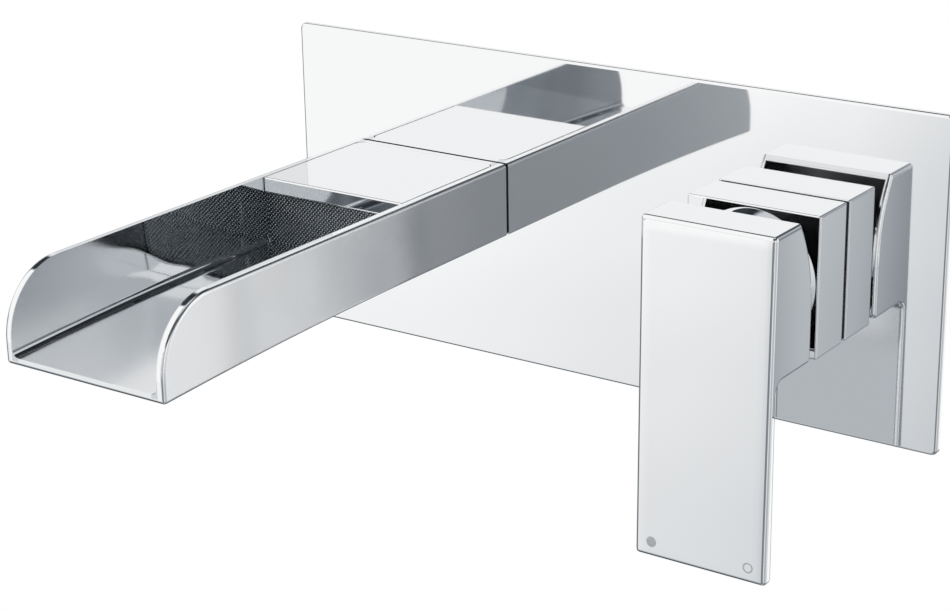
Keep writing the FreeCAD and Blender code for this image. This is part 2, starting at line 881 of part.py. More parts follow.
def supply_union(x):
    low = -inlet_boss_low
    y = passage_depth
    part = hex_z(x, y, low - union_hex_thick, low, union_hex_r)
    part = part.fuse(rod_z(x, y, low, low + union_spigot, inlet_socket_r))
    part = part.fuse(rod_z(x, y, union_low, low - union_hex_thick, union_thread_r)).removeSplitter()
    part = part.cut(rod_z(x, y, union_low - overrun, low + union_spigot + overrun, passage_r))
    part = part.cut(rod_z(x, y, union_low - overrun, union_low + valve_depth + valve_length, union_bore_r))
    groove_z = low + union_spigot / 2
    core = inlet_socket_r - 2 * union_ring_r
    half_groove = union_ring_r + slip
    groove = rod_z(x, y, groove_z - half_groove, groove_z + half_groove, inlet_socket_r + overrun)
    groove = groove.cut(rod_z(x, y, groove_z - overrun, groove_z + overrun, core))
    return part.cut(groove)


def union_o_rings():
    rings = []
    for x in inlet_places():
        rings.append(torus_z(x, passage_depth, -inlet_boss_low + union_spigot / 2,
                             inlet_socket_r - union_ring_r, union_ring_r))
    return Part.makeCompound(rings)


def check_valve(x):
    y = passage_depth
    low = union_low + valve_depth
    top = low + valve_length
    body = rod_z(x, y, low, top, union_bore_r - run_fit)
    body = body.cut(rod_z(x, y, low + valve_wall, top + overrun, union_bore_r - valve_wall))
    body = body.cut(rod_z(x, y, low - overrun, top, poppet_r - valve_wall / 2))
    poppet = rod_z(x, y, low + valve_wall, low + valve_wall + poppet_thick, poppet_r)
    poppet = poppet.fuse(rod_z(x, y, low + valve_wall, top - valve_wall, poppet_stem_r))
    return body.fuse(poppet).removeSplitter()


def inlet_strainers():
    discs = []
    for x in inlet_places():
        low = union_low + valve_depth - strainer_thick
        disc = rod_z(x, passage_depth, low, union_low + valve_depth, union_bore_r - run_fit)
        for i in range(strainer_holes):
            turn = math.radians(full_turn * i / strainer_holes)
            hx = x + strainer_ring_r * math.cos(turn)
            hy = passage_depth + strainer_ring_r * math.sin(turn)
            disc = disc.cut(rod_z(hx, hy, low - overrun, low + overrun, strainer_hole_r))
        discs.append(disc)
    return Part.makeCompound(discs)


def bracket_screw_places():
    return [(spout_x, outlet_z), (handle_x, 0)]


def wall_bracket():
    back = bracket_front + bracket_thick
    plate = slab(bracket_width, bracket_height, bracket_front, back, bracket_corner_r)
    for x in (-fixing_width / 2, fixing_width / 2):
        for z in (-fixing_height / 2, fixing_height / 2):
            plate = plate.cut(rod_y(x, z, bracket_front - overrun, body_back + overrun, fixing_hole_r))
    for x, z in bracket_screw_places():
        plate = plate.cut(rod_y(x, z, bracket_front - overrun, body_back + overrun, bracket_screw_r + slip))
    return plate


def bracket_screws():
    screws = []
    face = bracket_front + bracket_thick
    for x, z in bracket_screw_places():
        shank = rod_y(x, z, body_back - bracket_screw_grip, face, bracket_screw_r)
        head = rod_y(x, z, face, face + bracket_head_thick, bracket_head_r)
        socket = hex_y(x, z, face + bracket_head_thick / 2, face + overrun, bracket_screw_r)
        screws.append(shank.fuse(head).removeSplitter().cut(socket))
    return Part.makeCompound(screws)


nodes = {
    "wall_plate": wall_plate(),
    "plate_gasket": plate_gasket(),
    "spout_channel": spout_channel(),
    "spout_cover": spout_cover(),
    "cover_seal": cover_seal(),
    "flow_mesh": flow_mesh(),
    "mesh_frame": mesh_frame(),
    "spout_seal": spout_seal(),
    "spout_nipple": spout_nipple(),
    "nipple_o_rings": nipple_o_rings(),
    "spout_lock_nut": spout_lock_nut(),
    "spout_screws": spout_screws(),
    "handle_shroud": handle_shroud(),
    "shroud_seal": shroud_seal(),
    "dome_cap": dome_cap(),
    "lever_handle": lever_handle(),
    "lever_stem": lever_stem(),
    "grub_screw": grub_screw(),
    "grub_plug": grub_plug(),
    "swivel_carrier": swivel_carrier(),
    "pivot_pin": pivot_pin(),
    "cartridge_housing": cartridge_housing(),
    "fixed_disc": fixed_disc(),
    "moving_disc": moving_disc(),
    "disc_driver": disc_driver(),
    "cartridge_base": cartridge_base(),
    "port_seals": port_seals(),
    "cartridge_nut": cartridge_nut(),
    "valve_body": valve_body(),
    "hot_union": supply_union(inlet_places()[0]),
    "cold_union": supply_union(inlet_places()[1]),
    "union_o_rings": union_o_rings(),
    "hot_check_valve": check_valve(inlet_places()[0]),
    "cold_check_valve": check_valve(inlet_places()[1]),
    "inlet_strainers": inlet_strainers(),
    "wall_bracket": wall_bracket(),
    "bracket_screws": bracket_screws(),
}

os.makedirs("parts", exist_ok=True)
for name, shape in nodes.items():
    shape.exportStep("parts/" + name + ".step")
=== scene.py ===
import json
import math

import bpy
import numpy as np
from mathutils import Matrix, Vector


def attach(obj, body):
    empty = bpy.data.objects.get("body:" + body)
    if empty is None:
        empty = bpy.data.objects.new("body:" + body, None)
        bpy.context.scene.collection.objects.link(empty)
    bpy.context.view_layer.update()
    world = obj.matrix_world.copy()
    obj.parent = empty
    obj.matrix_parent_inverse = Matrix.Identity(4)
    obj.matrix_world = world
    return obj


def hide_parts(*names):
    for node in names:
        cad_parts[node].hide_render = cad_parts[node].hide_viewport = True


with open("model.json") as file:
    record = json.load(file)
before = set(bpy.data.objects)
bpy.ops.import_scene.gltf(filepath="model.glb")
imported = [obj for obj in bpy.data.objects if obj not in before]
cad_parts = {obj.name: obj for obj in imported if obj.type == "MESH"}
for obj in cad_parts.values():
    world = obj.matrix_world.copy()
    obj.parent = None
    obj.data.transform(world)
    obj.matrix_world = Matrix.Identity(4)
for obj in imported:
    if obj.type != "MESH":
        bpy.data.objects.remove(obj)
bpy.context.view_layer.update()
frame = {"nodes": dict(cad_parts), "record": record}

# Camera: angles, place in metres, sensor and lens in millimetres
PHOTO_AZIMUTH = math.radians(35.29)
PHOTO_ELEVATION = math.radians(19.55)
PHOTO_ROLL = math.radians(-1.02)
CAMERA_PLACE = Vector((0.34837, -0.55874, 0.20822))
SENSOR_WIDTH = 36.0
LENS_LENGTH = 86.51

# Bright chromium plating: reflectance, range of roughness, and scales of the wiped smears
CHROME = (0.925, 0.93, 0.935)
CHROME_GLOSS = (0.015, 0.045)
SMEAR_DETAIL = 4.0
PLATE_SMEAR = 18.0
COVER_SMEAR = 40.0
SLEEVE_SMEAR = 45.0

# Spout, in metres: what parts its sides, walls, bed and mouth
SPOUT_AXIS_X = -0.0615
SPOUT_SIDE_FROM_AXIS = 0.0281
SPOUT_INSIDE_FROM_AXIS = 0.0264
SPOUT_FACE_Y = -0.1592
BED_HALF = 0.0242
CHANNEL_FLOOR_Z = -0.0065
CHANNEL_FLOOR_SLACK = -0.001
CHANNEL_LEVEL_Y = -0.0525
CHANNEL_ARC_RADIUS = 1.847
FOLD_RADIUS = 0.002
MOUTH_SOFT_Y = -0.150
MOUTH_CLEAR_Y = -0.104
BED_CLEAR_Y = -0.075

# Spout's plating: painted shade of the channel's walls, roughness, lean of the walls, and
# hand-polished waves
CHANNEL_WALL_PAINTED_SHADE = (0.71, 0.73, 0.75)
SPOUT_GLOSS = (0.015, 0.04)
SPOUT_SMEAR = 30.0
SPOUT_SIDE_ROUGHNESS = 0.155
MOUTH_ROUGHNESS = 0.17
WALL_LEAN = 0.0227
WAVE_SCALE = 62.0
WAVE_DETAIL = 0.0
WAVE_DEPTH = 0.0002
WAVE_START_Y = -0.118
WAVE_FULL_Y = -0.092

# Lever, in metres: its face, the hollow of its block and the root of the paddle's back
HANDLE_AXIS_X = 0.0615
LEVER_HALF = 0.021
LEVER_TOP_Z = 0.0218
LEVER_TIP_Z = -0.080
LEVER_FRONT_TOP_Y = -0.0447
LEVER_FRONT_TIP_Y = -0.0462
HOLLOW_HALF = 0.01945
HOLLOW_FRONT_Y = -0.0398
HOLLOW_LOW_Z = -0.01905
HOLLOW_HIGH_Z = 0.02025
PADDLE_BACK_Y = -0.0425
PADDLE_BACK_HALF = 0.0197
PADDLE_ROOT_Z = -0.0205
PADDLE_SOFT_Z = -0.033
PADDLE_CLEAR_Z = -0.044

# Lever's plating: roll-off of its edges, painted shade inside the hollow, and roughness of the hollow
# and of the paddle's back
LEVER_SMEAR = 35.0
ROLL_WIDTH = 0.0045
ROLL_DEPTH = 0.0001
HOLLOW_PAINTED_SHADE = (0.2, 0.205, 0.21)
HOLLOW_ROUGHNESS = 0.42
PADDLE_BACK_ROUGHNESS = 0.17

# Screen, in metres: its plane and edges, its wires, and the heights over which painted shade in their
# recesses gives way to painted light on their crests
MESH_MIDDLE_Y = -0.05035
MESH_LEFT_X = -0.0877
MESH_RIGHT_X = -0.0353
MESH_LOW_Z = -0.0065
MESH_HIGH_Z = 0.0127
WIRE_PITCH = 0.00066
WARP_RADIUS = 0.00016
WEFT_RADIUS = 0.0001
WIRE_SIDES = 6
WARP_STEPS_PER_PITCH = 3
WEFT_STEPS = 25
PAINTED_SHADE_LOW = 0.0001
PAINTED_LIGHT_HIGH = 0.00034
WIRE_RECESS_PAINTED_SHADE = (0.275, 0.3, 0.33)
WIRE_CREST_PAINTED_LIGHT = (0.94, 0.98, 1.0)
WIRE_GLOSS = (0.22, 0.34)
WIRE_GRAIN = 900.0
WIRE_DETAIL = 3.0

# Hot and cold marks on the lever's face, in metres, and their grids
MARK_RADIUS = 0.0016
MARK_STROKE = 0.00045
MARK_THICK = 0.00006
MARK_HEIGHT_Z = -0.0753
MARK_SIDE = 0.0156
MARK_SPOKES = 32
RING_SIDES = 8
DROP_ROWS = 8

# Plain metals: dark and light tone, range of roughness, grain per metre, depth of relief in metres
TURNED_STEEL = ((0.42, 0.43, 0.44), (0.6, 0.61, 0.62), (0.25, 0.4), 400.0, 0.00003)
FRAME_STEEL = ((0.04, 0.042, 0.046), (0.08, 0.083, 0.09), (0.3, 0.45), 400.0, 0.00003)
ZINC_PLATE = ((0.5, 0.52, 0.54), (0.7, 0.71, 0.7), (0.3, 0.5), 120.0, 0.00005)
CAST_BRASS = ((0.52, 0.36, 0.15), (0.75, 0.56, 0.28), (0.3, 0.5), 160.0, 0.00012)
METAL_DETAIL = 5.0
METAL_RELIEF = 0.4

# Rubber, foam, ceramic and plastics: dark and light tone, middle roughness, grain per metre
BLACK_RUBBER = ((0.008, 0.008, 0.009), (0.02, 0.02, 0.021), 0.6, 500.0)
FOAM_STRIP = ((0.02, 0.02, 0.02), (0.06, 0.06, 0.06), 0.85, 700.0)
LAPPED_CERAMIC = ((0.8, 0.79, 0.75), (0.9, 0.89, 0.86), 0.25, 300.0)
WHITE_MOULDING = ((0.7, 0.7, 0.68), (0.8, 0.8, 0.78), 0.4, 250.0)
GREY_MOULDING = ((0.4, 0.41, 0.42), (0.52, 0.53, 0.54), 0.35, 250.0)
MOULD_DETAIL = 4.0
MOULD_ROUGHNESS_SPREAD = 0.06
MOULD_RELIEF = 0.25
MOULD_DEPTH = 0.00004

# Floor below the mixer, in metres
FLOOR_HEIGHT = -0.95
FLOOR_RADIUS = 1.5
FLOOR_RINGS = 12
FLOOR_SPOKES = 64
FLOOR_PAPER = (0.8, 0.8, 0.8)
FLOOR_ROUGHNESS = 0.9
FLOOR_WHITE_SHARE = 0.85

# Soft lamps: place and side in metres, power in watts
KEY_LAMP = ((-0.9, -1.1, 1.2), 1.1, 14.0)
FILL_LAMP = ((1.3, -0.8, 0.7), 1.0, 6.0)

# Light tent: its ball in metres, how open it is, and how cool its gauze is where dense
TENT_RADIUS = 30.0
TENT_ROWS = 16
TENT_SPOKES = 32
TENT_OPEN = 1.3935
GAUZE_STEPS = 10
GAUZE_COOL = 0.13
GAUZE_COOL_POWER = 1.3

# Walls of the tent: azimuth, with 0 at the mixer's front and 90 at its right, and level
TENT_WALLS = [
    (-180, 0.34),
    (-155, 0.63),
    (-132, 0.53),
    (-124, 0.22),
    (-72, 0.18),
    (-57, 0.40),
    (-47, 0.96),
    (-42, 1.02),
    (-38, 1.0),
    (-30, 0.90),
    (-25.5, 0.83),
    (-22.5, 0.70),
    (21, 0.36),
    (24, 0.275),
    (26, 0.58),
    (27.5, 0.59),
    (28.8, 0.16),
    (31, 0.2),
    (33, 0.255),
    (36.3, 0.075),
    (38.5, 0.2),
    (41.5, 1.35),
    (47, 1.3),
    (56, 0.62),
    (90, 0.50),
    (131, 0.90),
    (137, 0.98),
    (140.5, 0.72),
    (143.5, 0.04),
    (149, 0.06),
    (160, 0.15),
    (180, 0.34),
]
# Elevation, from straight down to straight up, and the share of the walls' level there
TENT_HEIGHTS = [
    (-90, 0.20),
    (-56, 0.20),
    (-44, 0.36),
    (-34, 0.56),
    (-24, 0.63),
    (-20, 0.68),
    (-17, 0.73),
    (-13, 0.84),
    (0, 0.98),
    (14, 1.05),
    (23, 1.0),
    (27, 0.45),
    (32, 0.10),
    (60, 0.10),
    (90, 0.15),
]
# Panels set into the tent: azimuth, elevation, half width, half height, soft margin, level
TENT_PANELS = [
    (-59, 37, 37, 25, 7, 0.77),
    (-62, 18, 31, 6, 7, 0.91),
    (-150, 33, 19, 9, 5, 0.62),
    (-115, 50, 10, 5, 4, 0.03),
    (123, 31, 13, 8, 5, 0.95),
    (139, 22, 6, 9, 3, 0.42),
    (3, -28, 13, 12, 6, 0.15),
    (166, 34, 14, 8, 5, 0.06),
    (0, 90, 360, 15, 10, 0.45),
    (0, -90, 360, 15, 12, 0.3),
    (-140, -5, 8, 13, 4, 0.2),
    (154, -25, 6, 9, 4, 0.85),
    (-157, -22, 6, 6, 4, 0.38),
]


def new_material(name):
    """A fresh material with its node tree, principled shader and object coordinates."""
    material = bpy.data.materials.new(name)
    material.use_nodes = True
    tree = material.node_tree
    shader = tree.nodes["Principled BSDF"]
    place = tree.nodes.new("ShaderNodeTexCoord").outputs["Object"]
    return material, tree, shader, place


def axes(tree, place):
    """The three coordinates of a place."""
    split = tree.nodes.new("ShaderNodeSeparateXYZ")
    tree.links.new(place, split.inputs["Vector"])
    return split.outputs["X"], split.outputs["Y"], split.outputs["Z"]


def noise(tree, place, scale, detail):
    """Noise value of a pattern in space."""
    node = tree.nodes.new("ShaderNodeTexNoise")
    node.inputs["Scale"].default_value = scale
    node.inputs["Detail"].default_value = detail
    tree.links.new(place, node.inputs["Vector"])
    return node.outputs["Fac"]


def spread(tree, value, ends):
    """Map a value of 0 to 1 on to a range."""
    node = tree.nodes.new("ShaderNodeMapRange")
    node.inputs["To Min"].default_value = ends[0]
    node.inputs["To Max"].default_value = ends[1]
    tree.links.new(value, node.inputs["Value"])
    return node.outputs["Result"]


def rising(tree, value, low, high, run="SMOOTHSTEP"):
    """Rise from 0 at low to 1 at high, held at both ends: eased, or straight if run is LINEAR."""
    node = tree.nodes.new("ShaderNodeMapRange")
    node.interpolation_type = run
    node.inputs["From Min"].default_value = low
    node.inputs["From Max"].default_value = high
    tree.links.new(value, node.inputs["Value"])
    return node.outputs["Result"]


def math_node(tree, operation, first, second=None):
    """One arithmetic node on sockets or numbers."""
    node = tree.nodes.new("ShaderNodeMath")
    node.operation = operation
    for place, value in enumerate((first, second)):
        if value is None:
            continue
        if isinstance(value, (int, float)):
            node.inputs[place].default_value = value
        else:
            tree.links.new(value, node.inputs[place])
    return node.outputs["Value"]


def product(tree, first, *others):
    """Product of sockets or numbers."""
    for other in others:
        first = math_node(tree, "MULTIPLY", first, other)
    return first


def less(tree, value, limit):
    """1 where a value is under the limit, else 0."""
    return math_node(tree, "LESS_THAN", value, limit)


def more(tree, value, limit):
    """1 where a value is over the limit, else 0."""
    return math_node(tree, "GREATER_THAN", value, limit)


def remainder(tree, share):
    """What a share leaves of 1."""
    return math_node(tree, "SUBTRACT", 1.0, share)


def from_axis(tree, x, axis_x):
    """Distance to either side of an axis."""
    return math_node(tree, "ABSOLUTE", math_node(tree, "SUBTRACT", x, axis_x))


def roughened(tree, roughness, share, extra):
    """Roughness with some extra where a share is 1."""
    return math_node(tree, "ADD", roughness, product(tree, share, extra))


def ramp(tree, value, stops, run="LINEAR"):
    """A colour scale from (place, red, green, blue) stops, with straight or eased runs."""
    node = tree.nodes.new("ShaderNodeValToRGB")
    scale = node.color_ramp
    scale.interpolation = run
    while len(scale.elements) < len(stops):
        scale.elements.new(0.5)
    for element, stop in zip(scale.elements, sorted(stops)):
        element.position = stop[0]
        element.color = (stop[1], stop[2], stop[3], 1.0)
    tree.links.new(value, node.inputs["Fac"])
    return node.outputs["Color"]


def two_tone(tree, value, first, second):
    """Blend from one colour to another by a value of 0 to 1."""
    return ramp(tree, value, [(0.0, *first), (1.0, *second)])


def relief(tree, shader, height, strength=1.0, distance=1.0):
    """Bump the shader's normal by a height, in metres unless a distance scales it."""
    node = tree.nodes.new("ShaderNodeBump")
    node.inputs["Strength"].default_value = strength
    node.inputs["Distance"].default_value = distance
    tree.links.new(height, node.inputs["Height"])
    tree.links.new(node.outputs["Normal"], shader.inputs["Normal"])


def polished_chrome(name, smear):
    """Bright plating: a mirror whose gloss changes a little in wiped smears."""
    material, tree, shader, place = new_material(name)
    shader.inputs["Metallic"].default_value = 1.0
    shader.inputs["Base Color"].default_value = (*CHROME, 1.0)
    wipe = noise(tree, place, smear, SMEAR_DETAIL)
    tree.links.new(spread(tree, wipe, CHROME_GLOSS), shader.inputs["Roughness"])
    return material


def channel_chrome(name):
    """Bright plating of the spout: softer on the outer sides and inside the mouth but for the fold
    at the walls' feet, with painted shade on the channel's walls, and a little wavy inside by the
    screen, where the folded walls and floor were polished by hand. Inside, the relief also grows with
    height, so that the walls' mirror leans. The floor is level at the back and falls along an arc to
    the mouth, by the square of the way past its level part over twice the radius."""
    material, tree, shader, place = new_material(name)
    shader.inputs["Metallic"].default_value = 1.0
    x, along, rise = axes(tree, place)
    aside = from_axis(tree, x, SPOUT_AXIS_X)
    outer = more(tree, aside, SPOUT_SIDE_FROM_AXIS)
    inner = less(tree, aside, SPOUT_INSIDE_FROM_AXIS)
    bed = less(tree, aside, BED_HALF)
    past = math_node(tree, "MAXIMUM", math_node(tree, "SUBTRACT", CHANNEL_LEVEL_Y, along), 0.0)
    drop = math_node(tree, "DIVIDE", product(tree, past, past), 2 * CHANNEL_ARC_RADIUS)
    over = math_node(tree, "ADD", math_node(tree, "SUBTRACT", rise, CHANNEL_FLOOR_Z), drop)
    beside_bed = math_node(tree, "SUBTRACT", inner, bed)
    wall = product(tree, beside_bed, more(tree, over, CHANNEL_FLOOR_SLACK))
    # Painted shade: the channel's walls take a darker colour than the rest of the plating.
    tree.links.new(two_tone(tree, wall, CHROME, CHANNEL_WALL_PAINTED_SHADE), shader.inputs["Base Color"])
    wall_clear = rising(tree, along, MOUTH_SOFT_Y, MOUTH_CLEAR_Y)
    bed_clear = rising(tree, along, MOUTH_SOFT_Y, BED_CLEAR_Y)
    bed_change = product(tree, bed, math_node(tree, "SUBTRACT", bed_clear, wall_clear))
    clear = math_node(tree, "ADD", wall_clear, bed_change)
    mouth = product(tree, remainder(tree, clear), inner, more(tree, along, SPOUT_FACE_Y))
    fold = product(tree, wall, less(tree, over, FOLD_RADIUS))
    mouth = product(tree, mouth, remainder(tree, fold))
    gloss = spread(tree, noise(tree, place, SPOUT_SMEAR, SMEAR_DETAIL), SPOUT_GLOSS)
    gloss = roughened(tree, gloss, outer, SPOUT_SIDE_ROUGHNESS)
    gloss = roughened(tree, gloss, mouth, MOUTH_ROUGHNESS)
    tree.links.new(gloss, shader.inputs["Roughness"])
    near = rising(tree, along, WAVE_START_Y, WAVE_FULL_Y)
    wave = product(tree, noise(tree, place, WAVE_SCALE, WAVE_DETAIL), near, WAVE_DEPTH)
    lean = product(tree, rise, WALL_LEAN)
    relief(tree, shader, product(tree, math_node(tree, "ADD", wave, lean), inner))
    return material


def roll_off(tree, distance):
    """Square of how far a point lies inside the rolled margin of an edge: 1 at the edge itself."""
    inside = rising(tree, distance, ROLL_WIDTH, 0.0, "LINEAR")
    return product(tree, inside, inside)


def lever_plating(name):
    """Bright plating of the lever: a mirror that rolls off softly towards the edges of its face,
    a softer gloss at the root of the paddle's back, and inside the hollow block a dull as-cast gloss
    with painted shade in its colour."""
    material, tree, shader, place = new_material(name)
    shader.inputs["Metallic"].default_value = 1.0
    x, depth, rise = axes(tree, place)
    aside = from_axis(tree, x, HANDLE_AXIS_X)
    level = product(tree, more(tree, rise, HOLLOW_LOW_Z), less(tree, rise, HOLLOW_HIGH_Z))
    hollow = product(tree, less(tree, aside, HOLLOW_HALF), level, more(tree, depth, HOLLOW_FRONT_Y))
    # Painted shade: the inside of the hollow block takes a dark colour.
    tree.links.new(two_tone(tree, hollow, CHROME, HOLLOW_PAINTED_SHADE), shader.inputs["Base Color"])
    rear = product(tree, more(tree, depth, PADDLE_BACK_Y), less(tree, rise, PADDLE_ROOT_Z))
    rear = product(tree, rear, less(tree, aside, PADDLE_BACK_HALF))
    rear = product(tree, rear, rising(tree, rise, PADDLE_CLEAR_Z, PADDLE_SOFT_Z))
    gloss = spread(tree, noise(tree, place, LEVER_SMEAR, SMEAR_DETAIL), CHROME_GLOSS)
    gloss = roughened(tree, gloss, hollow, HOLLOW_ROUGHNESS)
    gloss = roughened(tree, gloss, rear, PADDLE_BACK_ROUGHNESS)
    tree.links.new(gloss, shader.inputs["Roughness"])
    sides = roll_off(tree, math_node(tree, "SUBTRACT", LEVER_HALF, aside))
    tip = roll_off(tree, math_node(tree, "SUBTRACT", rise, LEVER_TIP_Z))
    top = roll_off(tree, math_node(tree, "SUBTRACT", LEVER_TOP_Z, rise))
    fall = math_node(tree, "ADD", sides, math_node(tree, "ADD", tip, top))
    face = less(tree, depth, LEVER_FRONT_TOP_Y)
    relief(tree, shader, product(tree, fall, face, -ROLL_DEPTH))
    return material


def plain_metal(name, dark, light, gloss, grain, depth):
    """Unpolished metal with a fine mottled grain in colour, gloss and relief."""
    material, tree, shader, place = new_material(name)
    shader.inputs["Metallic"].default_value = 1.0
    mottle = noise(tree, place, grain, METAL_DETAIL)
    tree.links.new(two_tone(tree, mottle, dark, light), shader.inputs["Base Color"])
    tree.links.new(spread(tree, mottle, gloss), shader.inputs["Roughness"])
    relief(tree, shader, mottle, METAL_RELIEF, depth)
    return material


def screen_wire(name):
    """Steel wire with painted shade and light: dark where it lies deep in the weave, and painted
    bright on its crests, proud of the screen's plane.
    """
    material, tree, shader, place = new_material(name)
    shader.inputs["Metallic"].default_value = 1.0
    proud = math_node(tree, "SUBTRACT", MESH_MIDDLE_Y, axes(tree, place)[1])
    # Painted shade and light: the wire darkens where it lies deep in the weave, and its crests are
    # painted bright.
    painted_light_share = rising(tree, proud, PAINTED_SHADE_LOW, PAINTED_LIGHT_HIGH)
    tree.links.new(two_tone(tree, painted_light_share, WIRE_RECESS_PAINTED_SHADE, WIRE_CREST_PAINTED_LIGHT), shader.inputs["Base Color"])
    grain = noise(tree, place, WIRE_GRAIN, WIRE_DETAIL)
    tree.links.new(spread(tree, grain, WIRE_GLOSS), shader.inputs["Roughness"])
    return material


def moulded(name, dark, light, rough, grain):
    """Plastic, rubber or ceramic with a faint mottle and a fine skin texture."""
    material, tree, shader, place = new_material(name)
    mottle = noise(tree, place, grain, MOULD_DETAIL)
    tree.links.new(two_tone(tree, mottle, dark, light), shader.inputs["Base Color"])
    ends = (rough - MOULD_ROUGHNESS_SPREAD, rough + MOULD_ROUGHNESS_SPREAD)
    tree.links.new(spread(tree, mottle, ends), shader.inputs["Roughness"])
    relief(tree, shader, mottle, MOULD_RELIEF, MOULD_DEPTH)
    return material


def add_mesh(name, points, face_blocks, material):
    """A mesh object at the origin from an array of points and arrays of faces' corners."""
    faces = [corners for block in face_blocks for corners in block.tolist()]
    mesh = bpy.data.meshes.new(name)
    mesh.from_pydata(points.tolist(), [], faces)
    mesh.polygons.foreach_set("use_smooth", np.ones(len(faces), bool))
    mesh.materials.append(material)
    mesh.update()
    piece = bpy.data.objects.new(name, mesh)
    bpy.context.scene.collection.objects.link(piece)
    return piece


def turns(count):
    """Angles of a whole turn in equal steps, without the closing one."""
    return np.arange(count) * 2 * math.pi / count


def tube_faces(lines, steps):
    """Faces of many six-sided tubes: a grid of steps along by sides around, closed around, and
    two four-cornered faces over each end."""
    line = np.arange(lines)[:, None, None]
    step = np.arange(steps - 1)[None, :, None]
    side = np.arange(WIRE_SIDES)[None, None, :]
    after = (side + 1) % WIRE_SIDES
    here = (line * steps + step) * WIRE_SIDES
    ahead = here + WIRE_SIDES
    walls = np.stack([here + side, here + after, ahead + after, ahead + side], axis=-1)
    cap = np.array([[0, 1, 2, 3], [0, 3, 4, 5]])
    first = line * steps * WIRE_SIDES
    last = first + (steps - 1) * WIRE_SIDES
    ends = [first + cap[:, ::-1], last + cap]
    return np.concatenate([walls.reshape(-1, 4)] + [end.reshape(-1, 4) for end in ends])


def wire_tubes(across, length, lift, radius):
    """Tubes of parallel wires. A centre line stands at one place across the screen and runs along
    it, lifted off the screen's plane, and the tube is a circle of the wire's radius about it.
    Returns the place across, the place along and the height of each point, and the faces."""
    turn = turns(WIRE_SIDES)[None, None, :]
    place = across[:, None, None] + radius * np.cos(turn) + 0 * length[None, :, None]
    height = lift[:, :, None] + radius * np.sin(turn)
    run = length[None, :, None] + 0 * place
    return place, run, height, tube_faces(len(across), len(length))


def flow_screen(material):
    """The woven screen. The level wires are straight, and the upright wires wave about them as
    cosines, over one and under the next, with neighbours opposite."""
    upright_x = np.arange(MESH_LEFT_X + WIRE_PITCH / 2, MESH_RIGHT_X, WIRE_PITCH)
    level_z = np.arange(MESH_LOW_Z + WIRE_PITCH / 2, MESH_HIGH_Z, WIRE_PITCH)
    rise = np.linspace(MESH_LOW_Z, MESH_HIGH_Z, WARP_STEPS_PER_PITCH * len(level_z) + 1)
    phase = math.pi * (rise - level_z[0]) / WIRE_PITCH
    order = math.pi * np.arange(len(upright_x))
    lift = (WARP_RADIUS + WEFT_RADIUS) * np.cos(phase[None, :] + order[:, None])
    x, z, y, upright_faces = wire_tubes(upright_x, rise, lift, WARP_RADIUS)
    upright = np.stack([x, MESH_MIDDLE_Y + y, z], axis=-1).reshape(-1, 3)
    reach = np.linspace(MESH_LEFT_X, MESH_RIGHT_X, WEFT_STEPS)
    flat = np.zeros((len(level_z), WEFT_STEPS))
    z, x, y, level_faces = wire_tubes(level_z, reach, flat, WEFT_RADIUS)
    level = np.stack([x, MESH_MIDDLE_Y + y, z], axis=-1).reshape(-1, 3)
    points = np.concatenate([upright, level])
    quads = np.concatenate([upright_faces, level_faces[:, ::-1] + len(upright)])
    return add_mesh("flow_screen", points, [quads], material)


def on_lever_face(across, rise, height):
    """Points on the lever's leaning front: its plane is a straight line from top to tip, and a
    height stands off it towards the front."""
    lean = (LEVER_FRONT_TIP_Y - LEVER_FRONT_TOP_Y) / (LEVER_TOP_Z - LEVER_TIP_Z)
    y = LEVER_FRONT_TOP_Y + lean * (LEVER_TOP_Z - rise) - height
    return np.stack([across, y, rise], axis=-1).reshape(-1, 3)


def cold_mark(material):
    """An open ring of enamel: an ellipse, as wide as the stroke, carried round a circle."""
    around = turns(MARK_SPOKES)[:, None]
    across = turns(RING_SIDES)[None, :]
    reach = MARK_RADIUS - MARK_STROKE / 2 + MARK_STROKE / 2 * np.cos(across)
    height = MARK_THICK * np.sin(across) + 0 * around
    middle = HANDLE_AXIS_X + MARK_SIDE
    x = middle + reach * np.cos(around)
    z = MARK_HEIGHT_Z + reach * np.sin(around)
    spoke = np.arange(MARK_SPOKES)[:, None]
    here = spoke * RING_SIDES
    ahead = (spoke + 1) % MARK_SPOKES * RING_SIDES
    step = np.arange(RING_SIDES)[None, :]
    after = (step + 1) % RING_SIDES
    quads = np.stack([here + step, ahead + step, ahead + after, here + after], axis=-1)
    return add_mesh("cold_mark", on_lever_face(x, z, height), [quads.reshape(-1, 4)], material)


def closed_rings(rings, spokes):
    """Faces of a stack of rings of points: four-cornered faces between neighbours, and a fan of
    three-cornered faces at each end about one of the two poles, which follow the rings' points."""
    row = np.arange(rings - 1)[:, None] * spokes
    spoke = np.arange(spokes)[None, :]
    after = (spoke + 1) % spokes
    above = row + spokes
    quads = np.stack([row + spoke, above + spoke, above + after, row + after], axis=-1)
    last = (rings - 1) * spokes
    pole = rings * spokes + 0 * spoke
    first_fan = np.stack([pole, spoke, after], axis=-1)
    last_fan = np.stack([pole + 1, last + after, last + spoke], axis=-1)
    return [quads.reshape(-1, 4), first_fan.reshape(-1, 3), last_fan.reshape(-1, 3)]


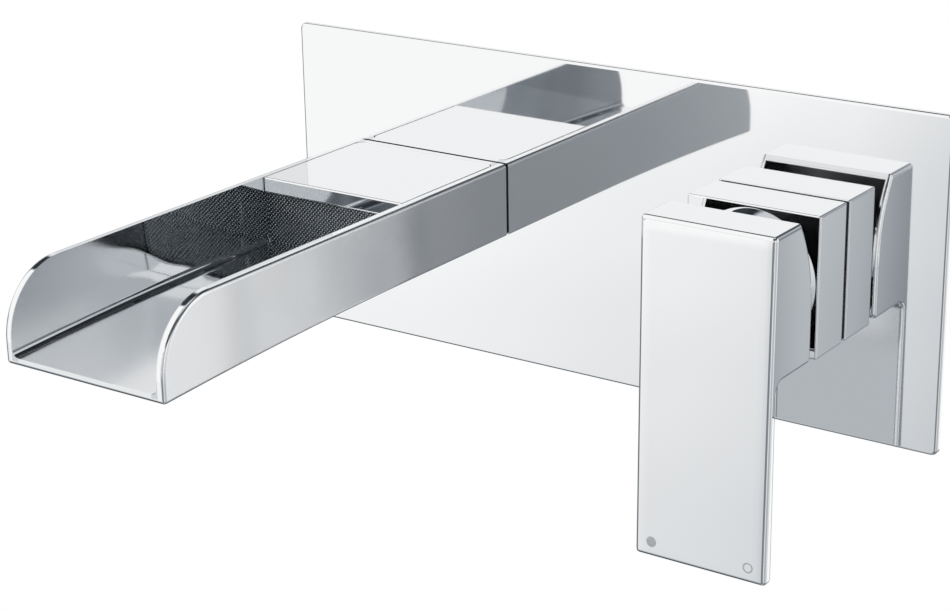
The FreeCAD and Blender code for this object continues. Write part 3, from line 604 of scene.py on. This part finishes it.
def hot_mark(material):
    """A filled drop of enamel: half an ellipse turned about its middle, with a point at each
    pole."""
    around = turns(MARK_SPOKES)[None, :]
    fall = (np.arange(1, DROP_ROWS) * math.pi / DROP_ROWS)[:, None]
    reach = MARK_RADIUS * np.sin(fall)
    height = MARK_THICK * np.cos(fall) + 0 * around
    middle = HANDLE_AXIS_X - MARK_SIDE
    x = middle + reach * np.cos(around)
    z = MARK_HEIGHT_Z + reach * np.sin(around)
    pole_heights = np.array([MARK_THICK, -MARK_THICK])
    poles = on_lever_face(np.full(2, middle), np.full(2, MARK_HEIGHT_Z), pole_heights)
    points = np.concatenate([on_lever_face(x, z, height), poles])
    return add_mesh("hot_mark", points, closed_rings(len(fall), MARK_SPOKES), material)


def grey_stop(place, level, cool=0.0):
    """A stop of a colour scale: a grey level, pulled towards blue by cool."""
    return (place, level * (1 - cool), level, level * (1 + cool))


def angle_stops(rows, first, span):
    """Stops of a scale of angles, from a first angle over a span, both in degrees."""
    return [grey_stop((angle - first) / span, level) for angle, level in rows]


def gauze_stops():
    """Stops from a share of light to the gauze's colour: neutral where open, cooler where dense."""
    shares = [step / GAUZE_STEPS for step in range(GAUZE_STEPS + 1)]
    return [grey_stop(share, share, GAUZE_COOL * (1 - share) ** GAUZE_COOL_POWER) for share in shares]


def blend_colours(tree, mode, factor, first, second):
    """Mix a colour socket with another or with a plain colour, by a number or a socket."""
    node = tree.nodes.new("ShaderNodeMix")
    node.data_type = "RGBA"
    node.blend_type = mode
    if isinstance(factor, float):
        node.inputs["Factor"].default_value = factor
    else:
        tree.links.new(factor, node.inputs["Factor"])
    tree.links.new(first, node.inputs["A"])
    if isinstance(second, tuple):
        node.inputs["B"].default_value = (*second, 1.0)
    else:
        tree.links.new(second, node.inputs["B"])
    return node.outputs["Result"]


def nearness(tree, angle, middle, half, soft):
    """1 within half a width of the middle angle, falling smoothly to 0 over the soft margin."""
    off = math_node(tree, "ABSOLUTE", math_node(tree, "SUBTRACT", angle, math.radians(middle)))
    inside = math_node(tree, "SUBTRACT", math.radians(half + soft), off)
    return rising(tree, inside, 0.0, math.radians(soft))


def white_world():
    """A plain white background of strength 1, the same for every ray."""
    world = bpy.data.worlds.new("studio")
    bpy.context.scene.world = world
    world.use_nodes = True
    background = world.node_tree.nodes["Background"]
    background.inputs["Color"].default_value = (1.0, 1.0, 1.0, 1.0)
    background.inputs["Strength"].default_value = 1.0


def tent_share(tree, place):
    """Share of the white background that the tent's gauze lets through, by the way it lies in: the
    walls' share by azimuth times the share by elevation, with panels set into them, all times how
    open the tent is and held at 1."""
    way = tree.nodes.new("ShaderNodeVectorMath")
    way.operation = "NORMALIZE"
    tree.links.new(place, way.inputs[0])
    x, y, z = axes(tree, way.outputs["Vector"])
    turn = math_node(tree, "ARCTAN2", x, product(tree, y, -1.0))
    turn_share = math_node(tree, "ADD", math_node(tree, "DIVIDE", turn, 2 * math.pi), 0.5)
    rise = math_node(tree, "ARCSINE", z)
    rise_share = math_node(tree, "ADD", math_node(tree, "DIVIDE", rise, math.pi), 0.5)
    walls = ramp(tree, turn_share, angle_stops(TENT_WALLS, -180.0, 360.0), "EASE")
    heights = ramp(tree, rise_share, angle_stops(TENT_HEIGHTS, -90.0, 180.0), "EASE")
    share = blend_colours(tree, "MULTIPLY", 1.0, walls, heights)
    for azimuth, elevation, half_width, half_height, soft, level in TENT_PANELS:
        sideways = nearness(tree, turn, azimuth, half_width, soft)
        upwards = nearness(tree, rise, elevation, half_height, soft)
        inside = product(tree, sideways, upwards)
        share = blend_colours(tree, "MIX", inside, share, (level, level, level))
    share = blend_colours(tree, "MULTIPLY", 1.0, share, (TENT_OPEN, TENT_OPEN, TENT_OPEN))
    share.node.clamp_result = True
    return ramp(tree, share, gauze_stops())


def light_tent():
    """A photographer's tent of grey gauze round the mixer, left out of the camera's sight: a ball
    of rings by elevation and spokes by azimuth. The plating mirrors the white background through
    it: pale walls, a grey gap at the front right and a dark ceiling with open panels."""
    rise = (np.arange(1, TENT_ROWS) / TENT_ROWS * math.pi - math.pi / 2)[:, None]
    turn = turns(TENT_SPOKES)[None, :]
    x = TENT_RADIUS * np.cos(rise) * np.cos(turn)
    y = TENT_RADIUS * np.cos(rise) * np.sin(turn)
    z = TENT_RADIUS * np.sin(rise) + 0 * turn
    rings = np.stack([x, y, z], axis=-1).reshape(-1, 3)
    poles = np.array([[0.0, 0.0, -TENT_RADIUS], [0.0, 0.0, TENT_RADIUS]])
    material, tree, shader, place = new_material("tent_gauze")
    tree.nodes.remove(shader)
    gauze = tree.nodes.new("ShaderNodeBsdfTransparent")
    tree.links.new(tent_share(tree, place), gauze.inputs["Color"])
    tree.links.new(gauze.outputs["BSDF"], tree.nodes["Material Output"].inputs["Surface"])
    faces = closed_rings(TENT_ROWS - 1, TENT_SPOKES)
    tent = add_mesh("light_tent", np.concatenate([rings, poles]), faces, material)
    tent.visible_camera = False


def floor_paper():
    """Pale paper that is white to the camera but for part of its own shading, which keeps the
    shadow."""
    material, tree, shader = new_material("floor_paper")[:3]
    shader.inputs["Base Color"].default_value = (*FLOOR_PAPER, 1.0)
    shader.inputs["Roughness"].default_value = FLOOR_ROUGHNESS
    white = tree.nodes.new("ShaderNodeEmission")
    choose = tree.nodes.new("ShaderNodeMixShader")
    seen = tree.nodes.new("ShaderNodeLightPath").outputs["Is Camera Ray"]
    tree.links.new(product(tree, seen, FLOOR_WHITE_SHARE), choose.inputs["Fac"])
    tree.links.new(shader.outputs["BSDF"], choose.inputs[1])
    tree.links.new(white.outputs["Emission"], choose.inputs[2])
    tree.links.new(choose.outputs["Shader"], tree.nodes["Material Output"].inputs["Surface"])
    return material


def pale_floor():
    """A round floor below the mixer: rings of points by angle."""
    reach = (np.arange(FLOOR_RINGS + 1) / FLOOR_RINGS * FLOOR_RADIUS)[:, None]
    angle = turns(FLOOR_SPOKES)[None, :]
    x = reach * np.cos(angle)
    y = reach * np.sin(angle)
    points = np.stack([x, y, np.full_like(x, FLOOR_HEIGHT)], axis=-1).reshape(-1, 3)
    spoke = np.arange(FLOOR_SPOKES)[None, :]
    after = (spoke + 1) % FLOOR_SPOKES
    inner = np.arange(FLOOR_RINGS)[:, None] * FLOOR_SPOKES
    outer = inner + FLOOR_SPOKES
    quads = np.stack([inner + spoke, outer + spoke, outer + after, inner + after], axis=-1)
    floor = add_mesh("floor", points, [quads.reshape(-1, 4)], floor_paper())
    floor.visible_glossy = False


def soft_lamp(name, place, size, watts):
    """A square soft lamp that faces the mixer and is not itself mirrored in the metal."""
    light = bpy.data.lights.new(name, "AREA")
    light.shape = "SQUARE"
    light.size = size
    light.energy = watts
    lamp = bpy.data.objects.new(name, light)
    lamp.location = place
    lamp.rotation_euler = (-Vector(place)).to_track_quat("-Z", "Y").to_euler()
    lamp.visible_camera = False
    lamp.visible_glossy = False
    bpy.context.scene.collection.objects.link(lamp)


def photo_camera():
    """The camera at the photograph's angle: it looks along the line from its azimuth and elevation,
    and its level axes turn about that line by the roll."""
    back = Vector((
        math.sin(PHOTO_AZIMUTH) * math.cos(PHOTO_ELEVATION),
        -math.cos(PHOTO_AZIMUTH) * math.cos(PHOTO_ELEVATION),
        math.sin(PHOTO_ELEVATION),
    ))
    level_right = Vector((math.cos(PHOTO_AZIMUTH), math.sin(PHOTO_AZIMUTH), 0.0))
    level_up = back.cross(level_right)
    right = math.cos(PHOTO_ROLL) * level_right + math.sin(PHOTO_ROLL) * level_up
    up = -math.sin(PHOTO_ROLL) * level_right + math.cos(PHOTO_ROLL) * level_up
    lens = bpy.data.cameras.new("photo_camera")
    lens.sensor_fit = "HORIZONTAL"
    lens.sensor_width = SENSOR_WIDTH
    lens.lens = LENS_LENGTH
    camera = bpy.data.objects.new("photo_camera", lens)
    bpy.context.scene.collection.objects.link(camera)
    camera.matrix_world = Matrix((
        (right.x, up.x, back.x, CAMERA_PLACE.x),
        (right.y, up.y, back.y, CAMERA_PLACE.y),
        (right.z, up.z, back.z, CAMERA_PLACE.z),
        (0.0, 0.0, 0.0, 1.0),
    ))
    bpy.context.scene.camera = camera


# Finishes of the record's material slots, and of the one node that differs from its slot
slot_finish = {
    "plate_chrome": polished_chrome("plate_bright_plating", PLATE_SMEAR),
    "spout_chrome": channel_chrome("spout_bright_plating"),
    "cover_chrome": polished_chrome("cover_bright_plating", COVER_SMEAR),
    "shroud_chrome": polished_chrome("sleeve_bright_plating", SLEEVE_SMEAR),
    "lever_chrome": lever_plating("lever_bright_plating"),
    "mesh_steel": screen_wire("screen_wire"),
    "plain_steel": plain_metal("turned_steel", *TURNED_STEEL),
    "zinc_steel": plain_metal("zinc_plate", *ZINC_PLATE),
    "cast_brass": plain_metal("cast_brass", *CAST_BRASS),
    "black_rubber": moulded("black_rubber", *BLACK_RUBBER),
    "foam_gasket": moulded("foam_strip", *FOAM_STRIP),
    "white_ceramic": moulded("lapped_ceramic", *LAPPED_CERAMIC),
    "cartridge_plastic": moulded("white_moulding", *WHITE_MOULDING),
    "grey_plastic": moulded("grey_moulding", *GREY_MOULDING),
}
node_finish = {"mesh_frame": plain_metal("frame_steel", *FRAME_STEEL)}
for row in frame["record"]["subparts"]:
    finish = node_finish.get(row["node"], slot_finish[row["material_slot"]])
    for slot in frame["nodes"][row["node"]].material_slots:
        slot.material = finish

# Pieces that only the scene has
screen = flow_screen(slot_finish["mesh_steel"])
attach(screen, "mixer")
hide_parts("flow_mesh")
for mark in (hot_mark(slot_finish["grey_plastic"]), cold_mark(slot_finish["grey_plastic"])):
    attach(mark, "lever")

# Studio
white_world()
light_tent()
pale_floor()
soft_lamp("key_lamp", *KEY_LAMP)
soft_lamp("fill_lamp", *FILL_LAMP)
photo_camera()
bpy.context.scene.view_settings.view_transform = "Standard"
